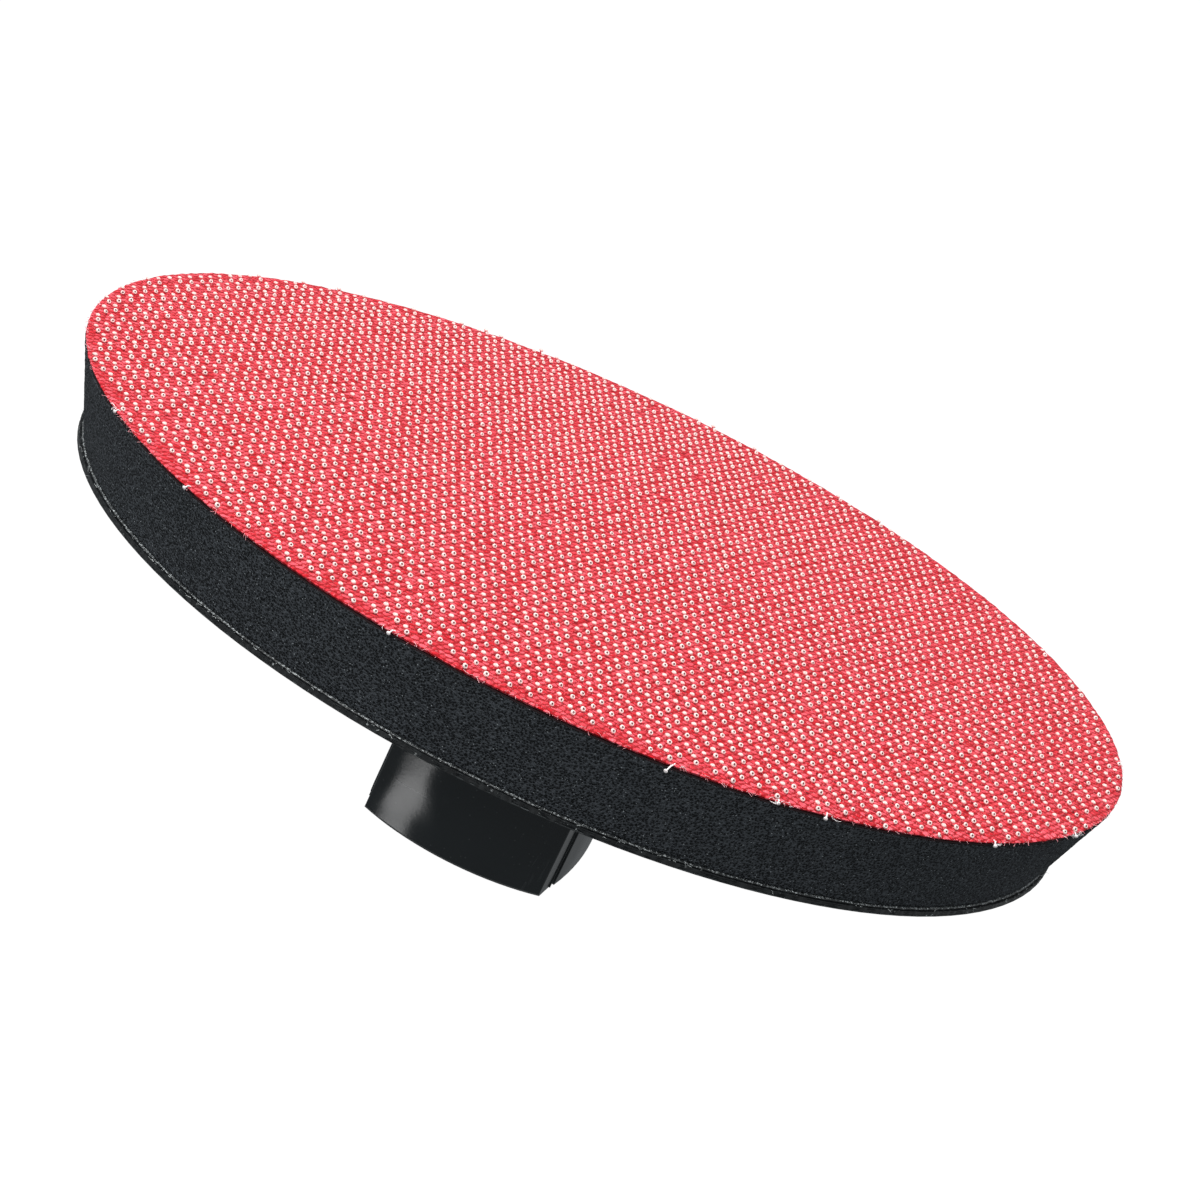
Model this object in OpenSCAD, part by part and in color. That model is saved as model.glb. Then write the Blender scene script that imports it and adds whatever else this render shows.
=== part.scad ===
// Hook-and-loop backing pad of an orbital sander, with a moulded hub for an M14 spindle.
// Millimetres, +Z is the way the hook face looks. The origin is the centre of the hub's
// free end, where the sander's spindle shoulder seats. The hub's curved ends are at +Y
// and -Y, and its flats at +X and -X.

/* [Pad] */
// Diameter of the hook face
face_d = 150; // [146:1:154]
// Diameter of the glass-fibre disc at the back of the foam
back_d = 142.4; // [140:0.2:144]
// Height of the pad, from the back of its disc to the tips of the hooks
pad_h = 14.1; // [12:0.1:16]
// Height of the hooks above their fabric
pile_h = 0.8; // [0.5:0.1:1]
// Thickness of the hook fabric
fabric_t = 0.6; // [0.4:0.1:0.8]
// Thickness of each film of adhesive
film_t = 0.2; // [0.1:0.1:0.4]
// Thickness of the glass-fibre disc
back_t = 0.7; // [0.6:0.1:1.2]

/* [Stiffening] */
// Diameter of the smaller laminate disc between the hub and the pad
stiffener_d = 100; // [90:1:110]
// Thickness of the smaller laminate disc
stiffener_t = 1.6; // [1.2:0.2:2]
// Diameter of the steel plate that the rivets pull on
clamp_d = 76; // [74:1:80]
// Thickness of the steel plate
clamp_t = 1.5; // [1.2:0.1:1.8]

/* [Hub] */
// How far the hub stands out from the back of the pad
hub_h = 30; // [29:0.1:33]
// Diameter of the hub's curved ends
hub_d = 50.2; // [49:0.2:51]
// Width of the hub over the lips beside its flats
hub_w = 26.8; // [26.4:0.1:27]
// Thickness of the hub's curved end walls
end_wall = 4.4; // [3.8:0.1:5]
// Diameter of the hub's round flange
flange_d = 80; // [78:1:84]
// Thickness of the hub's round flange
flange_t = 4; // [3.6:0.1:5]

/* [Spindle thread] */
// Nominal diameter of the spindle thread
thread_d = 14; // [13.8:0.1:14.2]
// Pitch of the spindle thread
thread_pitch = 2; // [1.5:0.5:2]
// Depth of the blind threaded hole
thread_depth = 22; // [18:1:24]
// Size across the flats of the steel insert
insert_af = 19; // [18.4:0.1:19]

/* [Rivets] */
// Number of rivets, and of the hub's ribs
rivets_n = 6; // [6:6:6]
// Diameter of the circle that the rivets stand on
rivets_pcd = 62.6; // [62.4:0.1:63]
// Diameter of a rivet's shank
rivet_d = 5; // [4:0.2:5]

/* [Hidden] */
$fn = 96;

// Heights of the layers, from the hub's free end upwards
back_z = hub_h;
back_top = back_z + back_t;
foam_z = back_top + film_t;
total_h = hub_h + pad_h;
fabric_top = total_h - pile_h;
fabric_z = fabric_top - fabric_t;
foam_top = fabric_z - film_t;
clamp_top = back_top + clamp_t;
flange_top = back_z - stiffener_t;
flange_z = flange_top - flange_t;

// Margins and clearances
bare_rim = 0.9;      // fabric without hooks along the cut edge
foam_inset = 0.1;    // foam inside the edge of the fabric
back_inset = 0.5;    // foam inside the edge of the backing disc
gap = 0.1;           // loose fit of one piece in another
eps = 0.05;          // overlap of shapes inside one piece

// Rivets
head_d = 9;
head_h = 1.2;
washer_d = 11;
washer_t = 0.8;
clinch_d = 7.6;
clinch_h = 1;
tube_d = 3;
tube_h = 2.6;

// Hub
edge = 0.4;          // broken edge at the free end
lip_r = 0.5;         // rounding of the upright edges beside the flats
flat_y = sqrt(pow(hub_d / 2, 2) - pow(hub_w / 2, 2)) - end_wall;
flat_x = hub_w / 2 + 1.6;       // the middle of a flat stands proud of its lips
crown_r = 100;       // radius of the slight bulge of a flat
lip_slant = 6;       // how far the side of a lip turns in towards the curved end
groove_w = 1.4;      // groove between a lip and its flat
groove_deep = 1.2;   // its depth at the flange, from the lip
groove_shallow = 0.2;
core_depth = 20;     // moulding cores in the free end
core_w = 18;
boss_d = 27;
rib_t = 2.4;
rib_d = 76;
rib_drop = 7;

// Steel insert
collar_d = 30;
collar_t = 2;
spigot_d = 16;
chamfer = 1;
thread_minor = thread_d - 1.0825 * thread_pitch;

// A disc from z0 up to z1
module disc(d, z0, z1) {
    translate([0, 0, z0]) cylinder(d = d, h = z1 - z0);
}

// Places its children at each rivet
module at_rivets() {
    for (i = [0 : rivets_n - 1])
        rotate(i * 360 / rivets_n) translate([rivets_pcd / 2, 0, 0]) children();
}

// The holes for the rivets' shanks
module rivet_holes(z0, z1) {
    at_rivets() disc(rivet_d + 2 * gap, z0 - 1, z1 + 1);
}

// The space that the hooks fill above their fabric
module hook_pile() {
    color("mistyrose") disc(face_d - 2 * bare_rim, fabric_top, total_h);
}

module hook_fabric() {
    color("crimson") disc(face_d, fabric_z, fabric_top);
}

module fabric_film() {
    color("dimgray") disc(face_d - 2 * foam_inset - 0.6, foam_top, fabric_z);
}

// Foam, tapering towards the back, and hollowed for the clamp plate and the rivet heads
module foam_pad() {
    top_r = face_d / 2 - foam_inset;
    low_r = back_d / 2 - back_inset;
    color([0.08, 0.09, 0.10]) difference() {
        rotate_extrude() polygon([[0, foam_z], [low_r, foam_z], [top_r, foam_top],
                                  [0, foam_top]]);
        disc(clamp_d + 2 * gap, foam_z - 1, clamp_top);
        at_rivets() disc(head_d + 4 * gap, foam_z - 1, clamp_top + head_h + gap);
    }
}

module foam_film() {
    color("gray") difference() {
        disc(back_d - 2 * back_inset - 0.4, back_top, foam_z);
        disc(clamp_d + 2 * gap, back_top - 1, foam_z + 1);
    }
}

module backing_disc() {
    color([0.16, 0.17, 0.18]) difference() {
        disc(back_d, back_z, back_top);
        disc(spigot_d + 2 * gap, back_z - 1, back_top + 1);
        rivet_holes(back_z, back_top);
    }
}

module stiffener_disc() {
    color([0.20, 0.21, 0.20]) difference() {
        disc(stiffener_d, flange_top, back_z);
        disc(spigot_d + 2 * gap, flange_top - 1, back_z + 1);
        rivet_holes(flange_top, back_z);
    }
}

module clamp_plate() {
    color("silver") difference() {
        disc(clamp_d, back_top, clamp_top);
        rivet_holes(back_top, clamp_top);
    }
}

// One semi-tubular rivet: a low head on the clamp plate and a rolled end on the washer
module rivet() {
    end_z = flange_z - washer_t;
    shank_r = rivet_d / 2;
    rotate_extrude() polygon([
        [0, clamp_top + head_h], [head_d / 2 - 1.2, clamp_top + head_h],
        [head_d / 2, clamp_top + 0.3], [head_d / 2, clamp_top], [shank_r, clamp_top],
        [shank_r, end_z], [clinch_d / 2, end_z], [clinch_d / 2 - 0.3, end_z - 0.6],
        [clinch_d / 2 - 1, end_z - clinch_h], [tube_d / 2, end_z - 0.4],
        [tube_d / 2, end_z - clinch_h + tube_h], [0, end_z - clinch_h + tube_h + 0.6]]);
}

module rivets() {
    color("lightgray") at_rivets() rivet();
}

module rivet_washers() {
    color("silver") at_rivets() difference() {
        disc(washer_d, flange_z - washer_t, flange_z);
        disc(rivet_d + 2 * gap, flange_z - 2, flange_z + 1);
    }
}

// The block between the end walls, whose flats bulge slightly
module flats_block() {
    linear_extrude(flange_z + 1) intersection() {
        translate([-hub_w, -flat_y - eps]) square([2 * hub_w, 2 * (flat_y + eps)]);
        translate([flat_x - crown_r, 0]) circle(crown_r, $fn = 720);
        translate([crown_r - flat_x, 0]) circle(crown_r, $fn = 720);
    }
}

// The curved end walls: the ends of a round bar with a broken edge at its free end, cut to
// the width of the hub by sides that turn in a little
module end_walls() {
    r = hub_d / 2;
    top = flange_z + 1;
    narrow = hub_w / 2 - (r - flat_y) * tan(lip_slant);
    for (sy = [0, 1])
        mirror([0, sy, 0]) intersection() {
            rotate_extrude($fn = 240)
                polygon([[0, 0], [r - edge, 0], [r, edge], [r, top], [0, top]]);
            translate([0, 0, -1]) linear_extrude(hub_h)
                polygon([[-hub_w / 2, flat_y], [hub_w / 2, flat_y], [narrow, r],
                         [narrow, r + 1], [-narrow, r + 1], [-narrow, r]]);
        }
}

// Rounds the upright edges where the curved end walls meet their slanted sides
module lip_rounds() {
    inner = hub_d / 2 - lip_r;
    far = (hub_d / 2 + 2) / inner;
    across = [cos(lip_slant), sin(lip_slant)];
    along = [-sin(lip_slant), cos(lip_slant)];
    reach = across * [hub_w / 2, flat_y] - lip_r;
    centre = reach * across + sqrt(pow(inner, 2) - pow(reach, 2)) * along;
    side = centre + 3 * across;
    for (sx = [0, 1], sy = [0, 1])
        mirror([sx, 0, 0]) mirror([0, sy, 0]) translate([0, 0, -1])
            linear_extrude(flange_z + 0.9) difference() {
                polygon([centre, side, side * far, centre * far]);
                translate(centre) circle(lip_r);
            }
}

// A groove behind each lip, which grows shallower towards the free end
module grooves() {
    lean = atan((groove_deep - groove_shallow) / flange_z);
    for (sx = [0, 1], sy = [0, 1])
        mirror([sx, 0, 0]) mirror([0, sy, 0])
            translate([hub_w / 2 - groove_shallow, flat_y - groove_w, 0])
                rotate([0, -lean, 0])
                    translate([0, 0, -1]) cube([3, groove_w, flange_z + 1.5]);
}

// Six thin ribs between the flange and the block, one between each two rivets
module hub_ribs() {
    for (i = [0 : rivets_n - 1])
        rotate((i + 0.5) * 360 / rivets_n) translate([0, rib_t / 2, 0]) rotate([90, 0, 0])
            linear_extrude(rib_t)
                polygon([[boss_d / 2 - 1, flange_z + 0.5], [boss_d / 2 - 1, flange_z - rib_drop],
                         [hub_d / 2 + 1, flange_z - rib_drop], [rib_d / 2, flange_z - 1],
                         [rib_d / 2, flange_z + 0.5]]);
}

// The cores in the free end, which leave an even wall around the boss
module hub_cores() {
    difference() {
        intersection() {
            disc(hub_d - 2 * end_wall, -1, core_depth);
            translate([-core_w / 2, -hub_d, -1]) cube([core_w, 2 * hub_d, core_depth + 1]);
        }
        disc(boss_d, -2, core_depth + 1);
    }
}

module hub_body() {
    color([0.10, 0.11, 0.12]) difference() {
        union() {
            difference() {
                union() {
                    end_walls();
                    flats_block();
                }
                grooves();
                lip_rounds();
            }
            disc(flange_d, flange_z, flange_top);
            hub_ribs();
        }
        hub_cores();
        insert_prism(insert_af + 2 * gap, -1, hub_h);
        disc(collar_d + 2 * gap, flange_top - collar_t, hub_h);
        rivet_holes(flange_z, flange_top);
    }
}

// A hexagonal prism with two corners at +Y and -Y
module insert_prism(af, z0, z1) {
    rotate(90) translate([0, 0, z0]) cylinder(d = af / cos(30), h = z1 - z0, $fn = 6);
}

// Steel insert: hexagonal body, round collar that the tool pulls on, and centring spigot
module spindle_insert() {
    minor_r = thread_minor / 2;
    color("lightsteelblue") difference() {
        union() {
            insert_prism(insert_af, 0, flange_top - collar_t + eps);
            disc(collar_d, flange_top - collar_t, flange_top);
            disc(spigot_d, flange_top - eps, back_top);
        }
        rotate_extrude() polygon([[0, -1], [minor_r + chamfer + 1, -1], [minor_r, chamfer],
                                  [minor_r, thread_depth], [0, thread_depth + minor_r / 2]]);
    }
}

hook_pile();
hook_fabric();
fabric_film();
foam_pad();
foam_film();
backing_disc();
stiffener_disc();
clamp_plate();
rivets();
rivet_washers();
hub_body();
spindle_insert();
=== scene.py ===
# %% [markdown]
# # Hook-and-loop backing pad of an orbital sander
# A backing pad is a sandwich. A red fabric full of tiny nylon hooks holds the abrasive disc.
# Behind it come a soft black foam, a thin disc of glass-fibre laminate, and a moulded hub with
# a steel insert that screws on to the sander's spindle. This lesson builds each layer at its
# real size, in metres, around a fixed CAD frame, and gives each the finish that it really has.

import math
import random

import bmesh
import bpy
from mathutils import Matrix, Vector, noise


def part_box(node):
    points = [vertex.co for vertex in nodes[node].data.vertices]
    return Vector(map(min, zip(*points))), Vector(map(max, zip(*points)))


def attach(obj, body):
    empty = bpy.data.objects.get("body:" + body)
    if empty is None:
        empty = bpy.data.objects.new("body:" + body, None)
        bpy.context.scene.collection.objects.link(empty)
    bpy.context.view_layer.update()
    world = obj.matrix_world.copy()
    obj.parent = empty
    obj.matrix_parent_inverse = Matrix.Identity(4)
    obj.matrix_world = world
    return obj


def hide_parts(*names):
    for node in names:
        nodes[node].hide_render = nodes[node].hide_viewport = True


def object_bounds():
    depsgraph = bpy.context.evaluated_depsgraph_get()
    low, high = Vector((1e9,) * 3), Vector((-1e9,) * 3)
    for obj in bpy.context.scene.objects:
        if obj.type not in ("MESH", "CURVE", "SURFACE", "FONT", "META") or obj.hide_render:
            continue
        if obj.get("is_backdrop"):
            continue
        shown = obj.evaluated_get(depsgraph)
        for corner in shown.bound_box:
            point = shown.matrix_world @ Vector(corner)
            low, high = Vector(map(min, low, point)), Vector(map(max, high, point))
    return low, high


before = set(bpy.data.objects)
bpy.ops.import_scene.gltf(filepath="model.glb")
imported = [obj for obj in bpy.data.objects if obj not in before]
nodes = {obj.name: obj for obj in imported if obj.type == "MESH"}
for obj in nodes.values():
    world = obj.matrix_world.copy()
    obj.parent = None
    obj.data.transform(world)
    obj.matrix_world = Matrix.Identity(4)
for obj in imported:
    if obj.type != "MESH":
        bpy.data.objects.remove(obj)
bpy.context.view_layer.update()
MM = 0.001


def heights(name):
    """The lowest and highest point of a CAD node, in millimetres."""
    low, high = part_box(name)
    return low[2] / MM, high[2] / MM


def radius(name):
    """The radius of a round CAD node, in millimetres."""
    low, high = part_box(name)
    return (high[0] - low[0]) / 2 / MM


# %% [markdown]
# ## The camera
# A small object is best seen through a long lens from some way off, so that near and far rim
# are drawn at nearly the same scale. The camera stands a little above the hook face and is
# rolled, which makes the pad look tipped, as if it was held up by its left side. It is placed
# from the hook face's own centre, so it stays right if the pad's height is changed.

# %% Place the camera
UNDER_HEAD_TOPS = 0.4
FACE_Z = heights("hook_pile")[1] - UNDER_HEAD_TOPS
camera_data = bpy.data.cameras.new("camera")
camera_data.lens = 90
camera_data.sensor_width = 36
camera_data.clip_start = 0.01
camera = bpy.data.objects.new("camera", camera_data)
bpy.context.scene.collection.objects.link(camera)
camera.location = Vector((31.70, -384.19, FACE_Z + 113.5)) * MM
looking = Vector((-0.0738, 0.9493, -0.3056))
roll = math.radians(25.43)
level = looking.to_track_quat("-Z", "Y").to_matrix().to_4x4()
camera.rotation_euler = (level @ Matrix.Rotation(roll, 4, "Z")).to_euler()
bpy.context.scene.camera = camera
print("camera at", [round(c, 4) for c in camera.location])

# %% [markdown]
# ## Light and floor
# The look is a product shot on white paper: even light from all round, two large softboxes
# above and in front, and a small one near the hub, whose soft streak shows in its gloss. The
# floor gives off light of its own, so that it stays white and keeps only a faint shadow. The
# camera sees a white surrounding, but gloss and bounced light see a grey one, or black plastic
# would look milky. The Standard view keeps white white and the red saturated.

# %% World
scene = bpy.context.scene
scene.view_settings.view_transform = "Standard"
scene.view_settings.look = "None"
SURROUND = 0.55
DIM = 0.20
DIM_BELOW, FULL_ABOVE = -0.15, 0.35
COOL_WHITE = (0.92, 0.97, 1, 1)


def node(tree, kind, values=None, **settings):
    """Adds a shader node, with its settings, and sets or links its inputs."""
    made = tree.nodes.new(kind)
    for key, value in settings.items():
        setattr(made, key, value)
    for key, value in (values or {}).items():
        if isinstance(value, bpy.types.NodeSocket):
            tree.links.new(value, made.inputs[key])
        else:
            made.inputs[key].default_value = value
    return made


world = bpy.data.worlds.new("studio")
world.use_nodes = True
scene.world = world
tree = world.node_tree
tree.nodes.clear()
rays = node(tree, "ShaderNodeLightPath")
seen = node(tree, "ShaderNodeBackground", {"Color": (1, 1, 1, 1), "Strength": 1.0})
heading = node(tree, "ShaderNodeTexCoord").outputs["Generated"]
upward = node(tree, "ShaderNodeSeparateXYZ", {0: heading}).outputs[2]
strength = node(tree, "ShaderNodeMapRange", {0: upward, 1: DIM_BELOW, 2: FULL_ABOVE,
                                              3: DIM, 4: SURROUND})
felt = node(tree, "ShaderNodeBackground", {"Color": COOL_WHITE,
                                           "Strength": strength.outputs[0]})
which = node(tree, "ShaderNodeMixShader",
             {0: rays.outputs["Is Camera Ray"], 1: felt.outputs[0], 2: seen.outputs[0]})
node(tree, "ShaderNodeOutputWorld", {"Surface": which.outputs[0]})
print("surrounding strength", SURROUND, "above and", DIM, "below")


# %% Softboxes
def softbox(name, place, towards, size, watts, turn=0.0):
    """A rectangular area light at place, facing a point, in millimetres, turned on its axis."""
    data = bpy.data.lights.new(name, "AREA")
    data.shape = "RECTANGLE"
    data.size = size[0] * MM
    data.size_y = size[1] * MM
    data.energy = watts
    light = bpy.data.objects.new(name, data)
    scene.collection.objects.link(light)
    light.location = Vector(place) * MM
    aim = Vector(towards) - Vector(place)
    facing = aim.to_track_quat("-Z", "Y").to_matrix()
    light.rotation_euler = (facing @ Matrix.Rotation(turn, 3, "Z")).to_euler()
    light.visible_camera = False
    return light


MIDDLE = (0, 0, FACE_Z)
HUB_WALL = (-4.8, -27.0, -20.2)
STREAK_TURN = math.radians(25)
softbox("top softbox", (-260, -120, 900), MIDDLE, (700, 700), 9.0)
softbox("front softbox", (-350, -700, 500), MIDDLE, (500, 400), 2.2)
softbox("hub streak", (-69.3, -93.0, -58.8), HUB_WALL, (36, 60), 0.031, STREAK_TURN)

# %% Floor
FLOOR_SIDE = 8.0
FLOOR_GLOW = 1.06
SHADOW_SHARE = 0.05
bm = bmesh.new()
bmesh.ops.create_grid(bm, x_segments=1, y_segments=1, size=FLOOR_SIDE / 2)
floor_mesh = bpy.data.meshes.new("floor")
bm.to_mesh(floor_mesh)
bm.free()
floor = bpy.data.objects.new("floor", floor_mesh)
scene.collection.objects.link(floor)
floor.visible_glossy = False
floor.visible_diffuse = False
paper = bpy.data.materials.new("white paper")
paper.use_nodes = True
tree = paper.node_tree
tree.nodes.clear()
glow = node(tree, "ShaderNodeEmission", {"Color": (1, 1, 1, 1), "Strength": FLOOR_GLOW})
matt = node(tree, "ShaderNodeBsdfDiffuse", {"Color": (0.9, 0.9, 0.9, 1)})
both = node(tree, "ShaderNodeMixShader",
            {0: SHADOW_SHARE, 1: glow.outputs[0], 2: matt.outputs[0]})
side = node(tree, "ShaderNodeNewGeometry")
clear = node(tree, "ShaderNodeBsdfTransparent")
shown = node(tree, "ShaderNodeMixShader",
             {0: side.outputs["Backfacing"], 1: both.outputs[0], 2: clear.outputs[0]})
node(tree, "ShaderNodeOutputMaterial", {"Surface": shown.outputs[0]})
floor_mesh.materials.append(paper)
floor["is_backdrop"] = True
print("floor at the hub's free end")

# %% [markdown]
# ## Helpers for shaders
# Every finish below is a small net of nodes. A few short helpers keep those nets readable:
# sums, mixed colours, noise, masks, coordinates in millimetres, and a plain grained finish. They
# could be drawn by hand in the shader editor, but in code each net is a few lines long.

# %% Shader helpers
OBJECT_SCALE = 1 / MM


def sums(tree, operation, first, second=0.0, clamp=False):
    """One Math node, and its output."""
    made = node(tree, "ShaderNodeMath", {0: first, 1: second}, operation=operation)
    made.use_clamp = clamp
    return made.outputs[0]


def mixed(tree, amount, first, second, blend="MIX"):
    """One Mix node for colours, and its output."""
    made = node(tree, "ShaderNodeMix", {0: amount, 6: first, 7: second},
                data_type="RGBA", blend_type=blend)
    return made.outputs[2]


def noisy(tree, where, scale, detail=2.0, rough=0.5):
    """One Noise Texture, and its value. The scale is in features per millimetre."""
    made = node(tree, "ShaderNodeTexNoise",
                {"Vector": where, "Scale": scale, "Detail": detail, "Roughness": rough})
    return made.outputs["Fac"]


def mask(tree, value, low, high):
    """0 below low and 1 above high, with a smooth step between them."""
    made = node(tree, "ShaderNodeMapRange", {0: value, 1: low, 2: high},
                interpolation_type="SMOOTHSTEP")
    return made.outputs[0]


def ranged(tree, value, low, high):
    """A value from 0 to 1 spread between low and high."""
    made = node(tree, "ShaderNodeMapRange", {0: value, 1: 0.0, 2: 1.0, 3: low, 4: high})
    return made.outputs[0]


def millimetres(tree, turn=0.0, stretch=(1, 1, 1)):
    """Object coordinates in millimetres, turned about Z, so that a pattern has a real size."""
    place = node(tree, "ShaderNodeTexCoord").outputs["Object"]
    made = node(tree, "ShaderNodeMapping", {"Vector": place}, vector_type="POINT")
    made.inputs["Rotation"].default_value = (0, 0, turn)
    made.inputs["Scale"].default_value = [OBJECT_SCALE * s for s in stretch]
    return made.outputs[0]


def material(name, **values):
    """A new material with its Principled BSDF, whose plain values are set on its sockets."""
    made = bpy.data.materials.new(name)
    made.use_nodes = True
    shader = made.node_tree.nodes["Principled BSDF"]
    for key, value in values.items():
        shader.inputs[key.replace("_", " ")].default_value = value
    print("material:", name)
    return made, made.node_tree, shader


def bumped(tree, shader, height, depth):
    """Feeds a height into the shader's normal. The depth is in millimetres."""
    made = node(tree, "ShaderNodeBump", {"Height": height, "Distance": depth * MM})
    tree.links.new(made.outputs[0], shader.inputs["Normal"])


def grained(name, dark, pale, patches, grain, depth, **values):
    """A finish whose colour wanders between two tones, with a fine grain in its bump."""
    made, tree, shader = material(name, **values)
    tone = mixed(tree, noisy(tree, millimetres(tree), patches), dark, pale)
    tree.links.new(tone, shader.inputs["Base Color"])
    bumped(tree, shader, noisy(tree, millimetres(tree), grain), depth)
    return made


def group(name, inputs, outputs):
    """A new node group with float or vector inputs and float outputs."""
    made = bpy.data.node_groups.new(name, "ShaderNodeTree")
    for label, kind, value in inputs:
        socket = made.interface.new_socket(name=label, in_out="INPUT", socket_type=kind)
        if value is not None:
            socket.default_value = value
    for label in outputs:
        made.interface.new_socket(name=label, in_out="OUTPUT", socket_type="NodeSocketFloat")
    return made, node(made, "NodeGroupInput").outputs, node(made, "NodeGroupOutput").inputs


def use(tree, made, values):
    """Places a node group in a material, and returns its outputs."""
    placed = node(tree, "ShaderNodeGroup", node_tree=made)
    for key, value in values.items():
        if isinstance(value, bpy.types.NodeSocket):
            tree.links.new(value, placed.inputs[key])
        else:
            placed.inputs[key].default_value = value
    return placed.outputs


print("shader helpers ready")

# %% [markdown]
# ## Shared effects
# Three effects turn up on several layers, so each is a node group that is built once. *Twisted
# yarn* draws rows of yarn whose filaments run slantwise, like rope. *Dust and mottle* gives the
# slow change of tone and the few bright specks that every black rubber and plastic part picks
# up. *Hairline scratches* are long thin marks, which are only seen in a gloss.

# %% Node group: twisted yarn
yarn, given, out = group(
    "twisted yarn",
    [("Place", "NodeSocketVector", None), ("Yarns per mm", "NodeSocketFloat", 2.5),
     ("Twists per mm", "NodeSocketFloat", 2.3), ("Slant", "NodeSocketFloat", 0.9)],
    ["Height", "Gap", "Tone"])
wobble = noisy(yarn, given["Place"], 0.35, 2.0)
axes = node(yarn, "ShaderNodeSeparateXYZ", {0: given["Place"]}).outputs
across = sums(yarn, "ADD", sums(yarn, "MULTIPLY", axes["X"], given["Yarns per mm"]),
              sums(yarn, "MULTIPLY", wobble, 1.4))
loose = sums(yarn, "MULTIPLY", noisy(yarn, given["Place"], 0.9, 1.0), 1.2)
along = sums(yarn, "ADD", sums(yarn, "MULTIPLY", axes["Y"], given["Twists per mm"]), loose)
row = sums(yarn, "FLOOR", across)
within = sums(yarn, "FRACT", across)
crown = sums(yarn, "SINE", sums(yarn, "MULTIPLY", within, math.pi))
shifted = sums(yarn, "ADD", along, sums(yarn, "MULTIPLY", row, 0.37))
twist = sums(yarn, "ADD", shifted, sums(yarn, "MULTIPLY", within, given["Slant"]))
strand = sums(yarn, "SINE", sums(yarn, "MULTIPLY", twist, 2 * math.pi))
strand = ranged(yarn, sums(yarn, "MULTIPLY", sums(yarn, "ADD", strand, 1.0), 0.5), 0.15, 1.0)
yarn.links.new(sums(yarn, "MULTIPLY", crown, strand), out["Height"])
yarn.links.new(mask(yarn, sums(yarn, "MULTIPLY", crown, strand), 0.42, 0.10), out["Gap"])
fleck = node(yarn, "ShaderNodeTexWhiteNoise",
             {"Vector": node(yarn, "ShaderNodeCombineXYZ",
                             {0: row, 1: sums(yarn, "FLOOR", twist)}).outputs[0]})
yarn.links.new(fleck.outputs["Value"], out["Tone"])

# %% Node group: dust and mottle
dust, given, out = group(
    "dust and mottle",
    [("Place", "NodeSocketVector", None), ("Speck size", "NodeSocketFloat", 1.0),
     ("Mottle size", "NodeSocketFloat", 10.0)],
    ["Speck", "Mottle"])
fine = sums(dust, "DIVIDE", 1.0, given["Speck size"])
broad = sums(dust, "DIVIDE", 1.0, given["Mottle size"])
grain = node(dust, "ShaderNodeTexVoronoi", {"Vector": given["Place"], "Scale": fine})
lonely = sums(dust, "GREATER_THAN",
              node(dust, "ShaderNodeSeparateXYZ", {0: grain.outputs["Color"]}).outputs[0], 0.86)
dot = mask(dust, grain.outputs["Distance"], 0.30, 0.12)
dust.links.new(sums(dust, "MULTIPLY", lonely, dot), out["Speck"])
dust.links.new(noisy(dust, given["Place"], broad, 4.0, 0.6), out["Mottle"])

# %% Node group: hairline scratches
scratch, given, out = group(
    "hairline scratches",
    [("Place", "NodeSocketVector", None), ("Angle", "NodeSocketFloat", 0.6),
     ("Density", "NodeSocketFloat", 0.35)],
    ["Scratch"])
turned = node(scratch, "ShaderNodeVectorRotate",
              {"Vector": given["Place"], "Angle": given["Angle"]},
              rotation_type="AXIS_ANGLE").outputs[0]
drawn = node(scratch, "ShaderNodeVectorMath", {0: turned, 1: (0.06, 2.2, 0.5)},
             operation="MULTIPLY").outputs[0]
lines = noisy(scratch, drawn, given["Density"], 3.0, 0.7)
patch = mask(scratch, noisy(scratch, given["Place"], 0.12, 1.0), 0.45, 0.6)
scratch.links.new(sums(scratch, "MULTIPLY", mask(scratch, lines, 0.62, 0.70), patch),
                  out["Scratch"])
print("node groups:", [g.name for g in bpy.data.node_groups])

# %% [markdown]
# ## Helpers for shapes
# Nearly every piece here is round, so it can be drawn as half a cross-section and spun about
# the axis, as a potter or a lathe would make it. The spin leaves its seam and poles double, so
# they are merged, and only then are the normals turned outwards.


# %% Shape helpers
def spun(profile, steps, closed=False, sectors=1):
    """A round body from its half section, a list of (radius, height) in millimetres.
    A fine one is spun through one sector only, and that is copied round, which is far quicker."""
    made = bmesh.new()
    chain = [made.verts.new((r * MM, 0, z * MM)) for r, z in profile]
    edges = [made.edges.new(pair) for pair in zip(chain, chain[1:])]
    if closed:
        edges.append(made.edges.new((chain[-1], chain[0])))
    bmesh.ops.spin(made, geom=chain + edges, cent=(0, 0, 0), axis=(0, 0, 1),
                   angle=2 * math.pi / sectors, steps=steps // sectors,
                   use_merge=sectors == 1)
    if sectors > 1:
        sector = bpy.data.meshes.new("sector")
        made.to_mesh(sector)
        for _ in range(sectors - 1):
            sector.transform(Matrix.Rotation(2 * math.pi / sectors, 4, "Z"))
            made.from_mesh(sector, face_normals=False, vertex_normals=False)
    bmesh.ops.remove_doubles(made, verts=made.verts, dist=0.001 * MM)
    bmesh.ops.recalc_face_normals(made, faces=made.faces)
    return made


def between(first, last, count):
    """count points from first to last, both included."""
    return [tuple(a + (b - a) * i / (count - 1) for a, b in zip(first, last))
            for i in range(count)]


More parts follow.
